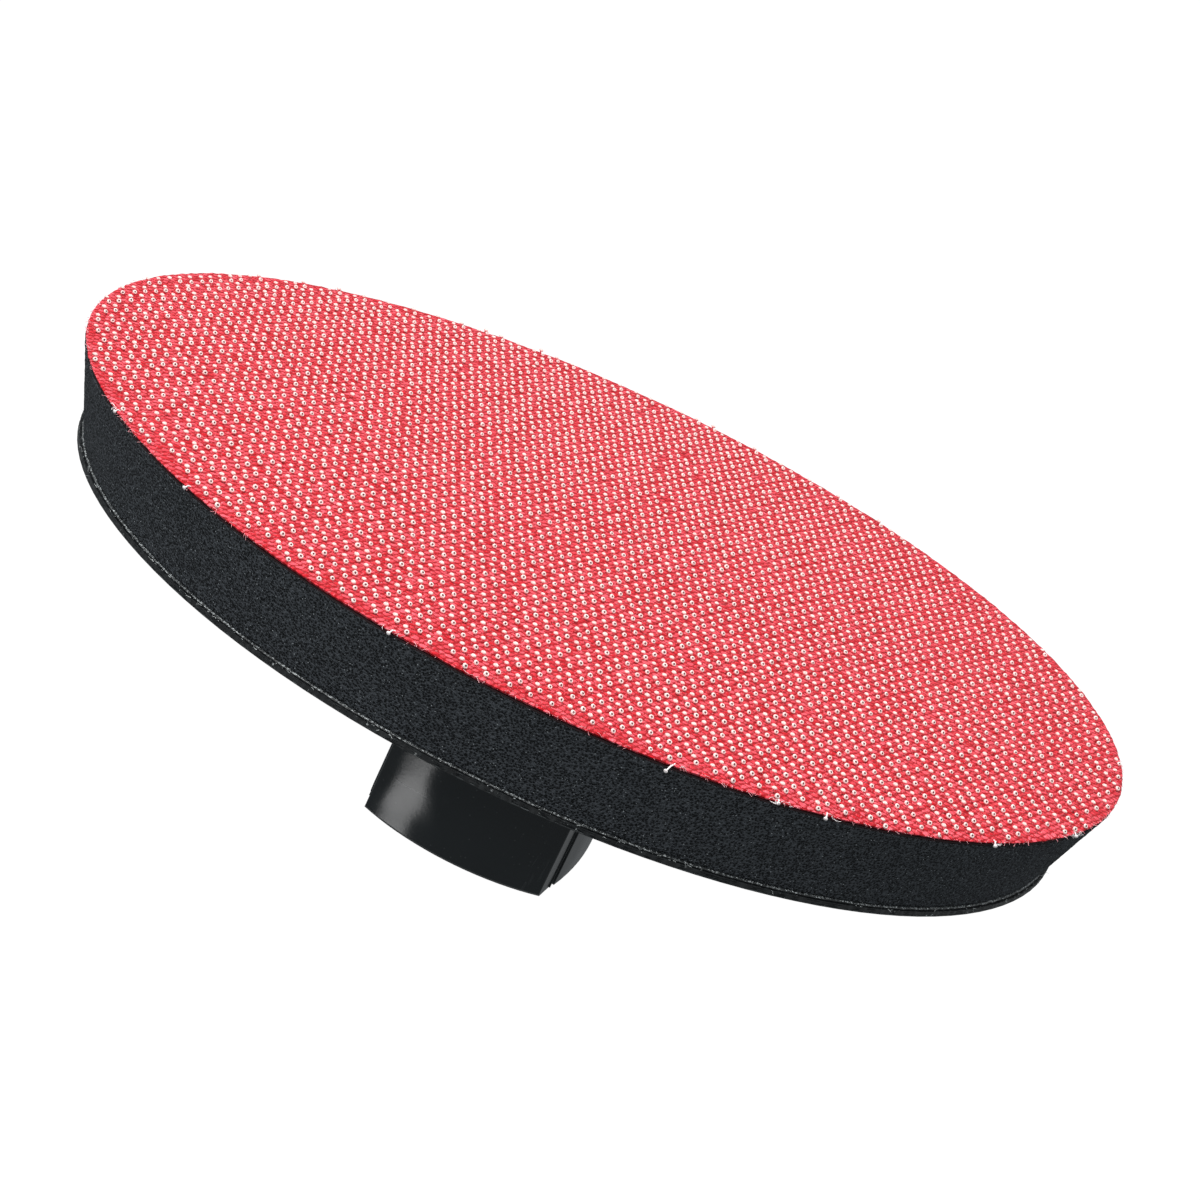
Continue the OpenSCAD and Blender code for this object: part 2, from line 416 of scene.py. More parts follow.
def stranded(made, points, thickness, sides=5, taper=1.0):
    """A fibre through points, in millimetres, made of rings that are bridged to each other."""
    before = None
    for i, point in enumerate(points):
        ahead = points[min(i + 1, len(points) - 1)] - points[max(i - 1, 0)]
        size = thickness / 2 * (1 + (taper - 1) * i / (len(points) - 1)) * MM
        turn = ahead.to_track_quat("Z", "Y").to_matrix().to_4x4()
        ring = bmesh.ops.create_circle(made, cap_ends=i in (0, len(points) - 1), segments=sides,
                                       radius=size,
                                       matrix=Matrix.Translation(point * MM) @ turn)["verts"]
        edges = list({e for v in ring for e in v.link_edges})
        if before is not None:
            bmesh.ops.bridge_loops(made, edges=before + edges)
        before = edges


def finished(name, made, materials, sharp=40, stands_for=()):
    """Turns a bmesh into a piece that rides on the pad, smooth except at sharp edges."""
    mesh = bpy.data.meshes.new(name)
    for face in made.faces:
        face.smooth = True
    made.to_mesh(mesh)
    made.free()
    mesh.set_sharp_from_angle(angle=math.radians(sharp))
    for finish in materials:
        mesh.materials.append(finish)
    piece = bpy.data.objects.new(name, mesh)
    scene.collection.objects.link(piece)
    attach(piece, "root")
    for cad_node in stands_for:
        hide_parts(cad_node)
    print(f"{name}: {sum(len(p.vertices) - 2 for p in mesh.polygons)} triangles")
    return piece


# %% [markdown]
# ## The hook fabric's ground
# The hooks are woven into a red nylon ground. The ground is cut to a disc with a knife, so its
# edge is a little ragged. It could be a flat disc with a drawn weave, but the light comes in
# low, and the yarns have to rise and fall. So the disc is spun with enough rings to swell and
# dip with the rows of hooks, and the yarns themselves, about a millimetre wide, are left to the
# material's bump.

# %% Material: red woven ground
WARP_TURN = math.radians(94)
woven, tree, shader = material("red woven ground", Roughness=0.70, Sheen_Weight=0.06,
                               Sheen_Roughness=0.4, Sheen_Tint=(1.0, 0.70, 0.74, 1))
shader.inputs["Specular IOR Level"].default_value = 0.18
where = millimetres(tree, turn=WARP_TURN)
rope = use(tree, yarn, {"Place": where, "Yarns per mm": 0.90, "Twists per mm": 1.15,
                        "Slant": 0.35})
tone = mixed(tree, rope["Tone"], (0.60, 0.003, 0.012, 1), (1.0, 0.130, 0.170, 1))
worn = mask(tree, noisy(tree, where, 0.05, 3.0), 0.45, 0.80)
tone = mixed(tree, sums(tree, "MULTIPLY", worn, 0.4), tone, (0.90, 0.060, 0.085, 1))
# The gaps between the yarns are painted darker: painted shade where the yarns part.
tone = mixed(tree, rope["Gap"], tone, (0.34, 0.001, 0.005, 1))
shine = mask(tree, noisy(tree, millimetres(tree, WARP_TURN, (2.2, 1, 1)), 1.5, 2.0, 0.6),
             0.58, 0.74)
tone = mixed(tree, sums(tree, "MULTIPLY", shine, 0.55), tone, (1.0, 0.36, 0.40, 1))
tree.links.new(tone, shader.inputs["Base Color"])
fibre = noisy(tree, millimetres(tree, WARP_TURN + 0.2, (9, 1, 1)), 1.2, 2.0)
lift = sums(tree, "ADD", rope["Height"], sums(tree, "MULTIPLY", fibre, 0.3))
bumped(tree, shader, lift, 0.20)

# %% Shape: woven ground
LATTICE_A = Vector((0.705, 2.489))
LATTICE_B = Vector((1.940, -1.993))
face_low, face_top = heights("hook_fabric")
face_r = radius("hook_fabric")
WARP_SHARE = 0.16
WARP_REACH = 60


def draped(flat):
    """Where a point of the straight weave lies: the cloth is pulled askew towards +X."""
    pull = max(0.0, flat.x / WARP_REACH) ** 2
    return Vector((flat.x + WARP_SHARE * pull * flat.y, flat.y * (1 + WARP_SHARE * pull)))


def phases(x, y):
    """How many lattice steps a point of the weave is from the middle."""
    size = LATTICE_A.x * LATTICE_B.y - LATTICE_A.y * LATTICE_B.x
    return ((x * LATTICE_B.y - y * LATTICE_B.x) / size,
            (LATTICE_A.x * y - LATTICE_A.y * x) / size)


GROUND_STEPS, GROUND_SECTORS = 640, 20
SWELL = 0.05
RAG, RAG_INWARD = 0.10, 0.08
ring_stops = [(r, face_top) for r in (0.0, 2.0, 4.0, 7.0)]
ring_stops += between((10.0, face_top), (face_r - 1.2, face_top), 72)
ring_stops += [(face_r - 0.6, face_top - 0.02), (face_r - 0.12, face_top - 0.06),
               (face_r, face_top - 0.16), (face_r - 0.10, face_top - 0.30),
               (face_r - 0.45, face_low + 0.05), (face_r - 0.8, face_low), (0.0, face_low)]
bm = spun(ring_stops, GROUND_STEPS, sectors=GROUND_SECTORS)
for v in bm.verts:
    x, y, z = v.co / MM
    far = math.hypot(x, y)
    if z > face_low + 0.02:
        a, b = phases(x, y)
        swell = SWELL * math.cos(2 * math.pi * a) * math.cos(2 * math.pi * b)
        z += swell + SWELL * noise.noise(Vector((x, y, 0)) * 0.3)
    if far > face_r - 0.5:
        rag = RAG * noise.noise(Vector((x, y, 1)) * 1.4) + RAG / 2 * noise.noise(v.co / MM * 2.4)
        x += x / far * (rag - RAG_INWARD)
        y += y / far * (rag - RAG_INWARD)
    v.co = Vector((x, y, z)) * MM
ground = finished("hook_ground", bm, [woven], 60, ["hook_fabric"])

# %% [markdown]
# ## The hooks
# Each hook is a nylon monofilament that was cut short and melted, so that its end flowed out
# into a mushroom. They stand in pairs, in staggered rows. One hook of a pair leans over and
# shows the small pit in its end, and the other stands nearly upright with a closed, pinker
# head. There are thousands, so one hook has only a few dozen faces. It is spun once, tilted and
# copied to each place by code, in four pieces, one per quarter of the face. A particle system
# could scatter them, but woven rows are regular, so the weave's own lattice is used, with a
# little seeded disorder.

# %% Material: open hook heads
hook_nylon, tree, shader = material("hook nylon", Roughness=0.34, IOR=1.53)
high = node(tree, "ShaderNodeSeparateXYZ", {0: millimetres(tree)}).outputs[2]
# The lower part of each hook is painted pink: painted red light that the clear nylon picks up from
# the red ground.
whiteness = mask(tree, high, face_top + 0.02, face_top + 0.22)
tint = noisy(tree, millimetres(tree), 0.7, 2.0)
white = mixed(tree, tint, (0.90, 0.66, 0.64, 1), (1.0, 0.90, 0.82, 1))
tree.links.new(mixed(tree, whiteness, (0.85, 0.30, 0.32, 1), white), shader.inputs["Base Color"])
bumped(tree, shader, noisy(tree, millimetres(tree), 5.0, 2.0), 0.02)

# %% Materials: closed heads and stems
plain_nylon = grained("closed hook head", (0.86, 0.44, 0.42, 1), (1.0, 0.82, 0.76, 1),
                      0.7, 5.0, 0.03, Roughness=0.45, IOR=1.53)
# The stems and the undersides of the heads are painted red: a painted glow of red light that the
# clear nylon carries up from the ground.
stem_painted_red_light = grained("hook stem painted red light", (0.85, 0.10, 0.13, 1), (0.95, 0.34, 0.36, 1),
                    0.9, 6.0, 0.02, Roughness=0.5, IOR=1.53)

# %% Material: hook pits
# The pits are painted dark: painted shade in their dimples. They are drawn paler towards +Y,
# as a painted haze, so that the far rows don't turn into dark dots.
pit_painted_shade, tree, shader = material("hook pit painted shade", Roughness=0.6)
shade = mixed(tree, noisy(tree, millimetres(tree), 1.1), (0.060, 0.022, 0.022, 1),
              (0.30, 0.13, 0.12, 1))
# Paler towards +Y: a painted haze over the far rows.
haze_depth = node(tree, "ShaderNodeSeparateXYZ", {0: millimetres(tree)}).outputs[1]
shade = mixed(tree, sums(tree, "MULTIPLY", mask(tree, haze_depth, -10, 55), 0.8), shade,
              (0.80, 0.42, 0.40, 1))
tree.links.new(shade, shader.inputs["Base Color"])
bumped(tree, shader, noisy(tree, millimetres(tree), 8.0, 2.0), 0.02)

# %% Shape: one hook
HOOK_SIDES = 8
HEAD_R = 0.345
STEM_R = 0.11
HOOK_LENGTH = 0.56
PIT_R = 0.14
UNDER_HEAD = -0.1
IN_PIT, ON_STEM, CLOSED = 1, 2, 3
hook_profile = [(0.0, 0.0), (PIT_R, 0.13), (0.22, 0.16), (HEAD_R - 0.05, 0.09), (HEAD_R, -0.02),
                (HEAD_R - 0.09, -0.12), (STEM_R, -0.15), (STEM_R, -HOOK_LENGTH),
                (0.0, -HOOK_LENGTH)]
bm = spun(hook_profile, HOOK_SIDES)
for face in bm.faces:
    face.smooth = True
    if max(v.co.xy.length for v in face.verts) < (PIT_R + 0.01) * MM and \
            min(v.co.z for v in face.verts) > UNDER_HEAD * MM:
        face.material_index = IN_PIT
    if min(v.co.z for v in face.verts) < UNDER_HEAD * MM:
        face.material_index = ON_STEM
one_hook = bpy.data.meshes.new("one hook")
bm.to_mesh(one_hook)
bm.free()
plain_hook = one_hook.copy()
for face in plain_hook.polygons:
    if face.material_index != ON_STEM:
        face.material_index = CLOSED
print("one hook has", sum(len(p.vertices) - 2 for p in one_hook.polygons), "triangles")

# %% Set the hooks in pairs
LEANS = {1: math.radians(52), -1: math.radians(-7)}
LEAN_WAY = Vector((0.77, -1.23)).normalized()
FOOT_APART = 0.40
SUNK = 0.04
BARE_EDGE = 0.7
FAR_SIDE = 10
FAR_MARGIN = 0.8
REACH = 60
dice = random.Random(11)
bare_r = radius("hook_fabric") - 0.25


def hook_at(made, kind, foot, way, lean, shrink):
    """Adds one hook of a kind to made, with its foot on the ground, leaning the given way."""
    copy = kind.copy()
    axis = Vector((-way.y, way.x, 0))
    stand = Matrix.Translation(Vector((0, 0, HOOK_LENGTH)) * MM)
    place = (Matrix.Translation(Vector((foot.x, foot.y, face_top - SUNK)) * MM)
             @ Matrix.Rotation(lean, 4, axis) @ Matrix.Scale(shrink, 4) @ stand)
    copy.transform(place)
    made.from_mesh(copy, face_normals=False, vertex_normals=False)
    bpy.data.meshes.remove(copy)


def wild(foot):
    """How disturbed the hooks are here: most near the cut edge, and in a few worn spots."""
    edge = max(0.0, (foot.length - (bare_r - 2.5)) / 2.5) * (0.3 if foot.y > FAR_SIDE else 1)
    spot = noise.noise(Vector((foot.x, foot.y, 3.0)) * 0.055)
    return min(1.0, 0.06 + 0.35 * edge ** 2 + 0.8 * max(0.0, spot - 0.45))


quarters = [bmesh.new() for _ in range(4)]
hook_count = 0
for i in range(-REACH, REACH + 1):
    for j in range(-REACH, REACH + 1):
        foot = draped(LATTICE_A * i + LATTICE_B * j)
        disorder = wild(foot)
        draws = [dice.gauss(0, 1) for _ in range(8)]
        luck = [dice.random() for _ in range(3)]
        margin = 0.6 + 0.8 * noise.noise(Vector((foot.x, foot.y, 9.0)) * 0.09)
        if foot.y > FAR_SIDE:
            margin += FAR_MARGIN
        if foot.length > bare_r - BARE_EDGE * max(0.0, margin + 0.5 * luck[2]):
            continue
        quarter = quarters[(1 if foot.x > 0 else 0) + (2 if foot.y > 0 else 0)]
        foot += Vector(draws[:2]) * (0.05 + 0.25 * disorder)
        for k, sign in enumerate((1, -1)):
            if luck[k] < 0.006 + 0.30 * disorder ** 2:
                continue
            swing = (0.07 + 0.9 * disorder) * draws[2 + k]
            way = (LEAN_WAY * sign).copy()
            way.rotate(Matrix.Rotation(swing, 2))
            lean = LEANS[sign] + (0.07 + 0.3 * disorder) * draws[4 + k]
            lean = max(-0.5, min(1.25, lean))
            hook_at(quarter, one_hook if sign > 0 else plain_hook,
                    foot + LEAN_WAY * sign * FOOT_APART, way, lean,
                    1 + 0.05 * max(-2, min(2, draws[6 + k])))
            hook_count += 1
for number, bm in enumerate(quarters, 1):
    finished(f"hooks_{number}", bm, [hook_nylon, pit_painted_shade, stem_painted_red_light, plain_nylon], 70,
             ["hook_pile"])
print(hook_count, "hooks")

# %% [markdown]
# ## The foam
# The foam is a fine-celled black polyurethane, cut with a blade to a slight cone. A cut
# through foam opens its cells, so the wall is rough at the scale of a third of a millimetre.
# The section below has a row of points up the wall, and each is then moved in or out by a
# cellular noise. The recess at the back takes the steel plate and the rivet heads. The cells
# that are finer than the mesh are drawn by the material.

# %% Material: foam
foam_black, tree, shader = material("fine-celled foam", Roughness=0.9)
shader.inputs["Specular IOR Level"].default_value = 0.25
where = millimetres(tree)
cells = node(tree, "ShaderNodeTexVoronoi", {"Vector": where, "Scale": 3.3})
small = node(tree, "ShaderNodeTexVoronoi", {"Vector": where, "Scale": 4.6})
specks = use(tree, dust, {"Place": where, "Speck size": 0.32, "Mottle size": 9.0})
walls = mask(tree, cells.outputs["Distance"], 0.22, 0.75)
tone = mixed(tree, walls, (0.003, 0.004, 0.005, 1), (0.094, 0.104, 0.116, 1))
glint = sums(tree, "MULTIPLY", mask(tree, small.outputs["Distance"], 0.28, 0.05), 0.75)
tone = mixed(tree, glint, tone, (0.20, 0.22, 0.24, 1))
tone = mixed(tree, ranged(tree, specks["Mottle"], 0.0, 0.30), tone, (0.004, 0.005, 0.006, 1))
tone = mixed(tree, sums(tree, "MULTIPLY", specks["Speck"], 0.8), tone, (0.50, 0.54, 0.56, 1))
tree.links.new(tone, shader.inputs["Base Color"])
pores = sums(tree, "ADD", cells.outputs["Distance"],
             sums(tree, "MULTIPLY", small.outputs["Distance"], 0.5))
bumped(tree, shader, pores, 0.28)

# %% Shape: foam
foam_low, foam_top = heights("foam_pad")
foam_r = radius("foam_pad")
back_r = radius("backing_disc")
back_low, back_top = heights("backing_disc")
plate_r = radius("clamp_plate")
plate_top = heights("clamp_plate")[1]
head_top = heights("rivets")[1]
foam_low_r = back_r - 0.5
WASHER_R = 5.5
rivet_circle = radius("rivet_washers") - WASHER_R
HEAD_ROOM = 5.0
FOAM_STEPS, FOAM_SECTORS = 1360, 34
CELL_DEEP, GRAIN_DEEP, WAVE_DEEP = 0.10, 0.05, 0.10
wall = between((foam_low_r, foam_low + 0.02), (foam_r, foam_top - 0.02), 34)
section = [(plate_r + 0.1, plate_top + 0.02), (plate_r + 0.1, foam_low), (foam_low_r - 1, foam_low)]
section += wall + [(foam_r - 1, foam_top), (0.0, foam_top)]
section += [(0.0, plate_top + 0.02), (rivet_circle - HEAD_ROOM, plate_top + 0.02),
            (rivet_circle - HEAD_ROOM, head_top + 0.15),
            (rivet_circle + HEAD_ROOM, head_top + 0.15),
            (rivet_circle + HEAD_ROOM, plate_top + 0.02), (plate_r + 0.1, plate_top + 0.02)]
bm = spun(section, FOAM_STEPS, sectors=FOAM_SECTORS)
for v in bm.verts:
    far = v.co.xy.length / MM
    if far < foam_low_r - 0.5 or not foam_low + 0.01 < v.co.z / MM < foam_top - 0.01:
        continue
    nearest = noise.voronoi(v.co / MM * 1.5)[0][0]
    grainy = noise.noise(v.co / MM * 3.1)
    wave = noise.noise(v.co / MM * 0.12)
    push = CELL_DEEP * (nearest - 0.5) + GRAIN_DEEP * grainy + WAVE_DEEP * (wave - 1)
    v.co.xy *= 1 + push / far
foam = finished("foam", bm, [foam_black], 75, ["foam_pad"])

# %% [markdown]
# ## The bond and the cut edge of the laminate
# A film of contact adhesive holds the foam to the laminate disc, and a little was squeezed out
# and dried in pale beads. The disc itself was punched from glass-fibre laminate, so its edge is
# torn: resin is missing here and there, and glass ends catch the light. The disc keeps its CAD
# body. The film is spun as a thin body with an uneven rim, a second spun ring covers the disc's
# edge and carries the damage and a painted reflection along its lower edge, and short fibres
# stand in it. A displaced copy of the disc would do too, but it would need fine faces all over
# for the sake of its rim.

# %% Material: bond line
bond, tree, shader = material("dried adhesive", Roughness=0.35)
where = millimetres(tree)
lumps = noisy(tree, where, 3.2, 4.0, 0.75)
height = node(tree, "ShaderNodeSeparateXYZ", {0: where}).outputs[2]
thin = sums(tree, "MULTIPLY", mask(tree, height, back_top + 0.08, back_top + 0.14),
            mask(tree, height, foam_low + 0.10, foam_low + 0.04))
pale = sums(tree, "MULTIPLY", ranged(tree, mask(tree, lumps, 0.50, 0.62), 0.05, 1.0), thin)
tone = mixed(tree, pale, (0.006, 0.007, 0.008, 1), (0.70, 0.74, 0.74, 1))
tree.links.new(tone, shader.inputs["Base Color"])
bumped(tree, shader, noisy(tree, where, 3.0, 3.0), 0.15)

# %% Materials: torn laminate and glass
torn, tree, shader = material("torn laminate edge", Roughness=0.45)
shader.inputs["Specular IOR Level"].default_value = 0.25
where = millimetres(tree)
height = node(tree, "ShaderNodeSeparateXYZ", {0: where}).outputs[2]
layers = noisy(tree, millimetres(tree, 0, (1, 1, 5)), 1.0, 3.0, 0.65)
tone = mixed(tree, mask(tree, layers, 0.45, 0.70), (0.003, 0.004, 0.005, 1),
             (0.026, 0.030, 0.032, 1))
# A pale band along the lower edge of the cut is a painted reflection.
painted_low_reflection = sums(tree, "MULTIPLY", mask(tree, height, back_low + 0.20, back_low + 0.10),
                mask(tree, noisy(tree, where, 0.5, 3.0), 0.35, 0.62))
tone = mixed(tree, sums(tree, "MULTIPLY", painted_low_reflection, 0.9), tone, (0.20, 0.215, 0.22, 1))
sparks = use(tree, dust, {"Place": where, "Speck size": 0.55, "Mottle size": 6.0})
tone = mixed(tree, sparks["Speck"], tone, (0.62, 0.66, 0.66, 1))
tree.links.new(tone, shader.inputs["Base Color"])
bumped(tree, shader, layers, 0.2)

glass = grained("glass ends", (0.35, 0.38, 0.38, 1), (0.85, 0.88, 0.86, 1),
                1.2, 6.0, 0.02, Roughness=0.25, IOR=1.52)

# %% Shape: bond line
EDGE_STEPS, EDGE_SECTORS = 1900, 38
bond_in = plate_r + 0.1
bm = spun([(bond_in, back_top), (foam_low_r - 1, back_top), (foam_low_r, back_top),
           (foam_low_r + 0.14, back_top + 0.04), (foam_low_r + 0.10, foam_low - 0.04),
           (foam_low_r - 0.10, foam_low + 0.03), (foam_low_r - 1, foam_low),
           (bond_in, foam_low)], EDGE_STEPS, closed=True, sectors=EDGE_SECTORS)
for v in bm.verts:
    far = v.co.xy.length / MM
    if far > foam_low_r - 0.2:
        squeeze = noise.noise(v.co / MM * 0.8) + 0.6 * noise.noise(v.co / MM * 3.0)
        v.co.xy *= 1 + 0.12 * squeeze / far
        if v.co.z / MM > foam_low:
            v.co.z += 0.05 * max(0.0, squeeze) * MM
finished("bond_line", bm, [bond], 60, ["foam_film"])

# %% Shape: torn edge
bm = spun([(back_r - 0.5, back_low + 0.02), (back_r - 0.12, back_low - 0.01),
           (back_r - 0.01, back_low + 0.08), (back_r + 0.01, back_low + 0.22),
           (back_r - 0.03, back_low + 0.38), (back_r + 0.01, back_low + 0.54),
           (back_r - 0.06, back_top), (back_r - 0.2, back_top + 0.02),
           (back_r - 0.5, back_top - 0.02)], EDGE_STEPS, closed=True, sectors=EDGE_SECTORS)
for v in bm.verts:
    far = v.co.xy.length / MM
    if far > back_r - 0.4:
        tear = noise.noise(v.co / MM * 1.1) + 0.8 * noise.noise(v.co / MM * 3.3)
        v.co.xy *= 1 + 0.05 * tear / far
        v.co.z += 0.03 * noise.noise(v.co / MM * 2.3) * MM
finished("torn_edge", bm, [torn], 60)

# %% Shape: glass ends
GLASS_ENDS = 330
dice = random.Random(5)
bm = bmesh.new()
for _ in range(GLASS_ENDS):
    angle = dice.uniform(0, 2 * math.pi)
    out = Vector((math.cos(angle), math.sin(angle), 0))
    side = Vector((-out.y, out.x, 0))
    start = out * (back_r - dice.uniform(0.05, 0.35))
    start.z = dice.choice((back_top + 0.02, back_top - 0.05, back_low + 0.35))
    run = side * dice.uniform(-1, 1) + out * dice.uniform(0.0, 0.4)
    run.z = dice.uniform(-0.15, 0.3)
    run = run.normalized() * dice.uniform(0.2, 0.8)
    bend = Vector((0, 0, dice.uniform(-0.05, 0.08)))
    stranded(bm, [start, start + run / 2 + bend, start + run], dice.uniform(0.05, 0.10), 4, 0.5)
bmesh.ops.recalc_face_normals(bm, faces=bm.faces)
finished("glass_ends", bm, [glass], 60)

# %% [markdown]
# ## The frayed edge of the fabric
# Where the fabric was cut, the ends of its yarns stand out as a pale pink fuzz, and a few hooks
# were cut loose and hang over the foam. Hair particles would do for a carpet, but here it is a
# few hundred short fibres, so each is a thin tube of bridged rings. The half towards +Y gets
# only a fifth of them, so that the rim stays a clean line against the white behind it.

# %% Materials: cut yarn ends and loose nylon
fuzz = grained("cut yarn ends", (0.80, 0.10, 0.14, 1), (1.0, 0.68, 0.70, 1),
               0.45, 8.0, 0.02, Roughness=0.5)
loose_nylon = grained("loose nylon", (0.80, 0.70, 0.70, 1), (1.0, 0.97, 0.95, 1),
                      1.5, 6.0, 0.02, Roughness=0.3, IOR=1.53)

# %% Shape: frayed ends
FRAY_TRIES = 1000
TIDY_BEYOND, TIDY_SHARE = 0.1, 0.8
dice = random.Random(23)
bm = bmesh.new()
for _ in range(FRAY_TRIES):
    angle = dice.uniform(0, 2 * math.pi)
    out = Vector((math.cos(angle), math.sin(angle), 0))
    if noise.noise(out * 6) < dice.uniform(-0.5, 0.3):
        continue
    side = Vector((-out.y, out.x, 0))
    if out.y > TIDY_BEYOND and dice.random() < TIDY_SHARE:
        continue
    start = out * (face_r - dice.uniform(0.2, 0.5))
    start.z = face_top - dice.uniform(0.0, 0.22)
    run = side * dice.uniform(-0.8, 0.8) + out * dice.uniform(0.25, 0.6)
    run.z = dice.uniform(-0.35, 0.25)
    middle = start + run * 0.5 + Vector((0, 0, dice.uniform(-0.05, 0.1)))
    stranded(bm, [start, middle, start + run], dice.uniform(0.04, 0.09), 4, 0.6)
bmesh.ops.recalc_face_normals(bm, faces=bm.faces)
finished("frayed_ends", bm, [fuzz], 60)

# %% Shape: loose hooks over the edge
# Each has its angle in degrees, how far out it hangs in millimetres, and its share of fluff.
LOOSE = [(-139.1, 0.1, 2), (-124.3, 0.2, 0), (-99.2, 0.3, 1), (-73.0, 0.9, 1),
         (-62.3, 0.1, 3), (-57.5, 0.35, 1), (-36.9, 0.3, 2), (-21.8, 0.2, 3)]
dice = random.Random(31)
bm = bmesh.new()
for degrees, out_by, fluff in LOOSE:
    angle = math.radians(degrees)
    out = Vector((math.cos(angle), math.sin(angle), 0))
    side = Vector((-out.y, out.x, 0))
    root = out * (face_r - 0.5)
    root.z = face_top - 0.05
    tip = out * (face_r + out_by) + Vector((0, 0, face_top - 0.25 - 0.5 * out_by))
    root += side * 1.1 * out_by
    knee = (root + tip) / 2 + Vector((0, 0, 0.2))
    stranded(bm, [root, knee, tip], 0.20, 6)
    tilt = (tip - knee).to_track_quat("Z", "Y").to_matrix().to_4x4()
    bmesh.ops.create_uvsphere(bm, u_segments=10, v_segments=6, radius=0.28 * MM,
                              matrix=Matrix.Translation(tip * MM) @ tilt
                              @ Matrix.Diagonal((1, 1, 0.7, 1)))
    for _ in range(fluff * 3):
        size = dice.uniform(0.3, 0.6)
        turn = dice.uniform(0, 2 * math.pi)
        middle = root + out * 0.6 + side * dice.uniform(-1.2, 1.2)
        bit = [middle + (side * math.cos(turn + t * 0.5) + Vector((0, 0, 0.6))
                         * math.sin(turn + t * 0.5)) * size + out * 0.10 * t
               for t in range(4)]
        stranded(bm, bit, 0.08, 4, 0.6)
bmesh.ops.recalc_face_normals(bm, faces=bm.faces)
finished("loose_hooks", bm, [loose_nylon], 60)

# %% [markdown]
# ## Laminate discs, plate and adhesive film
# These keep their CAD bodies, because their shape is simple and right. The laminates show the
# square weave of their glass cloth under a thin skin of black resin. The plate and the washers
# are zinc-plated steel, with fine scratches. The film under the fabric has soaked in and is
# dark.

# %% Materials: laminates
CLOTH_PITCH = 1.1
CLOTH_TURNS = (0.0, math.pi / 2)


def laminate(name, resin, cloth, rough):
    """Black resin over a square glass cloth whose strands show faintly."""
    made, tree, shader = material(name, Roughness=rough, Coat_Weight=0.25, Coat_Roughness=0.2)
    strands = [use(tree, yarn, {"Place": millimetres(tree, turn), "Yarns per mm": CLOTH_PITCH,
                                "Twists per mm": 0.55, "Slant": 0.0})["Height"]
               for turn in CLOTH_TURNS]
    over = sums(tree, "MAXIMUM", strands[0], strands[1])
    marks = use(tree, dust, {"Place": millimetres(tree), "Speck size": 0.8,
                             "Mottle size": 14.0})
    tone = mixed(tree, mask(tree, over, 0.3, 1.0), resin, cloth)
    tone = mixed(tree, marks["Mottle"], tone, resin)
    tone = mixed(tree, marks["Speck"], tone, (0.25, 0.26, 0.26, 1))
    tree.links.new(tone, shader.inputs["Base Color"])
    bumped(tree, shader, over, 0.10)
    return made


thin_laminate = laminate("black glass laminate", (0.012, 0.013, 0.014, 1),
                         (0.040, 0.044, 0.046, 1), 0.42)
thick_laminate = laminate("dark glass laminate", (0.020, 0.021, 0.018, 1),
                          (0.070, 0.074, 0.062, 1), 0.38)

# %% Materials: adhesive film and zinc-plated steel
dark_film, tree, shader = material("soaked-in adhesive", Roughness=0.6)
streaks = noisy(tree, millimetres(tree), 1.6, 3.0)
tree.links.new(mixed(tree, streaks, (0.012, 0.008, 0.009, 1), (0.05, 0.015, 0.018, 1)),
               shader.inputs["Base Color"])
bumped(tree, shader, streaks, 0.05)

zinc, tree, shader = material("zinc-plated steel", Metallic=1.0)
where = millimetres(tree)
marks = use(tree, scratch, {"Place": where, "Angle": 0.5, "Density": 0.8})["Scratch"]
blotch = use(tree, dust, {"Place": where, "Speck size": 0.7, "Mottle size": 5.0})
tone = mixed(tree, blotch["Mottle"], (0.50, 0.52, 0.54, 1), (0.70, 0.70, 0.68, 1))
tree.links.new(mixed(tree, marks, tone, (0.82, 0.82, 0.80, 1)), shader.inputs["Base Color"])
tree.links.new(ranged(tree, blotch["Mottle"], 0.22, 0.48), shader.inputs["Roughness"])
bumped(tree, shader, marks, -0.03)


# %% Dress the CAD bodies that stay
def dress(name, finish):
    """Gives a CAD node its finish, and keeps its shape."""
    mesh = nodes[name].data
    mesh.materials.clear()
    mesh.materials.append(finish)


dress("backing_disc", thin_laminate)
dress("stiffener_disc", thick_laminate)
dress("clamp_plate", zinc)
dress("rivet_washers", zinc)
dress("fabric_film", dark_film)
print("CAD nodes with a new finish: discs, plate, washers and film")

# %% [markdown]
# ## The hub
# The hub is moulded in black glass-filled nylon against a polished mould, so it is glossy but
# not quite even: the surface sinks slightly over thick walls, and it has hairline scratches
# from handling and one pale scuff across its front. Its CAD body has the real bulging flats,
# grooves, ribs and cores, so only the finish is made here, with a slow wave in the bump for the
# sink marks. The scuff is a thin line in X and Z, faded at both ends.

